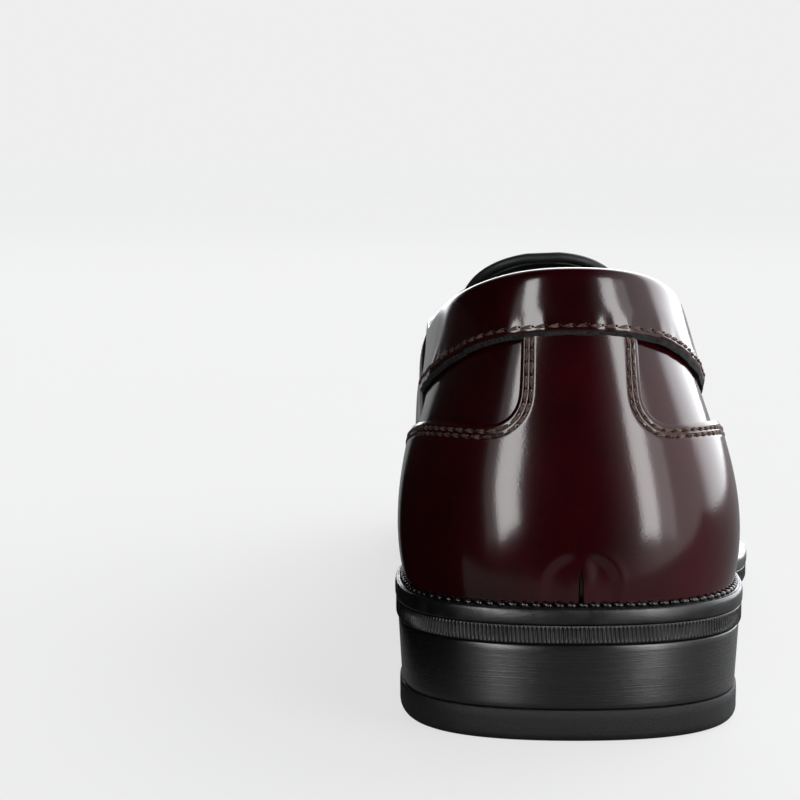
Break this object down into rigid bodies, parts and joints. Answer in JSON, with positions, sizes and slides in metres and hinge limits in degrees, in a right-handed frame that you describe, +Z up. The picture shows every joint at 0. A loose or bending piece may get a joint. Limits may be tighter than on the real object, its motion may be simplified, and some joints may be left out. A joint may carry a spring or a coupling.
{
  "type": "penny loafer",
  "caption": "Low-heeled slip-on leather shoe for the right foot, with a moccasin-seamed apron, a slotted strap over the instep, a turned collar and a welted sole.",
  "frame": {"origin": "centre of the footprint (middle of the bounding box in X and Y), on the ground plane", "axes": "+Y from the heel towards the toe, +X towards the outer side of the right foot, +Z up"},
  "size_m": [0.0966, 0.298, 0.0942],
  "materials": {
    "burgundy_leather": "high polish, dark oxblood, smooth grain",
    "black_leather": "soft, matt to satin",
    "sole_leather": "edge-dyed black, brushed, low sheen",
    "rubber": "matt black",
    "cork": "pressed cork, granular",
    "board": "pressed leather fibre board, matt",
    "foam": "fine open foam",
    "steel": "bright drawn steel"
  },
  "bodies": {
    "root": {"vamp": "burgundy_leather", "apron": "burgundy_leather", "strap": "burgundy_leather", "quarter_outer": "burgundy_leather", "quarter_inner": "burgundy_leather", "heel_foxing": "burgundy_leather", "collar": "burgundy_leather", "quarter_lining": "black_leather", "vamp_lining": "black_leather", "tongue_lining": "black_leather", "sock_liner": "black_leather", "outsole": "sole_leather", "welt": "sole_leather", "heel_block": "sole_leather", "top_lift": "rubber", "cork_filler": "cork", "insole": "board", "heel_seat_filler": "board", "heel_counter": "board", "toe_puff": "board", "collar_padding": "foam", "heel_pad": "foam", "shank": "steel", "heel_nail_1": "steel", "heel_nail_2": "steel", "heel_nail_3": "steel", "heel_nail_4": "steel", "heel_nail_5": "steel"}
  },
  "joints": []
}
